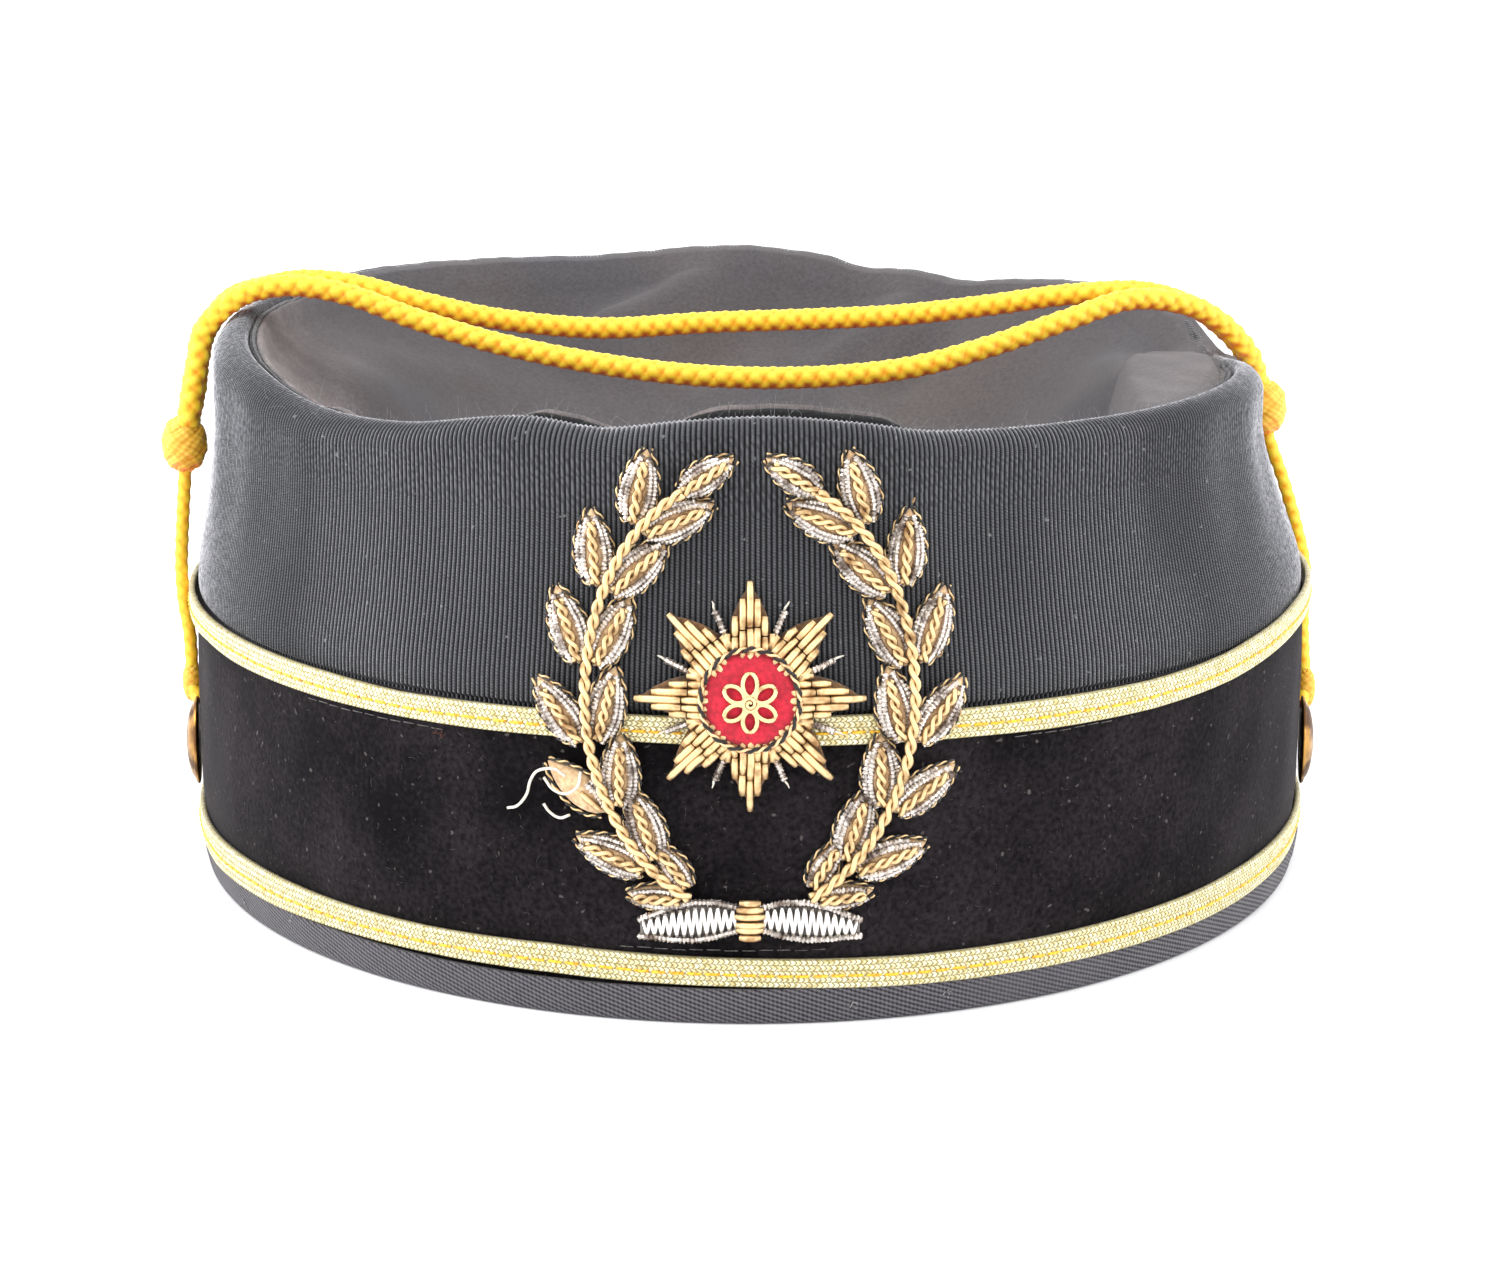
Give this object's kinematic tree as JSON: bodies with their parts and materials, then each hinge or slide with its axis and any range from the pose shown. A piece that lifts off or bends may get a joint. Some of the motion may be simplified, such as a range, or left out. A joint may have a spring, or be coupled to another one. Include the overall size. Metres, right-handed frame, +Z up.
{
  "type": "ceremonial cap",
  "caption": "Soft oval ceremonial cap with a sunk top, ribbed side, velvet band, gold braids, embroidered front emblem and a yellow cord over the crown.",
  "frame": {"origin": "centre of the cap's bounding box, cords left out, on the surface that the bottom binding rests on", "axes": "+Z up, -Y out through the embroidered front, +X towards the side on the viewer's right"},
  "size_m": [0.1834, 0.201, 0.0897],
  "materials": {
    "ribbed_cloth": "matt fine rib weave",
    "plain_cloth": "matt plain weave",
    "velvet": "short pile",
    "gold_braid": "woven metal thread",
    "twill": "matt twill weave",
    "brass": "aged, browned",
    "gold_bullion": "coiled gilt wire",
    "silver_bullion": "coiled silvered wire, tarnished",
    "red_felt": "matt felt",
    "yellow_cord": "plaited, slight sheen"
  },
  "bodies": {
    "root": {"crown_wall": "ribbed_cloth", "crown_top": "plain_cloth", "velvet_band": "velvet", "braid_upper": "gold_braid", "braid_lower": "gold_braid", "hem_binding": "twill", "side_button_left": "brass", "side_button_right": "brass", "emblem_branch_left": "silver_bullion", "emblem_branch_right": "silver_bullion", "emblem_star": "gold_bullion", "emblem_roundel": "red_felt", "emblem_ribbon": "silver_bullion", "cord_back": "yellow_cord", "cord_front": "yellow_cord", "leader_left": "yellow_cord", "leader_right": "yellow_cord", "slide_knot_left": "yellow_cord", "slide_knot_right": "yellow_cord", "loop_knot_left": "yellow_cord", "loop_knot_right": "yellow_cord"}
  },
  "joints": []
}
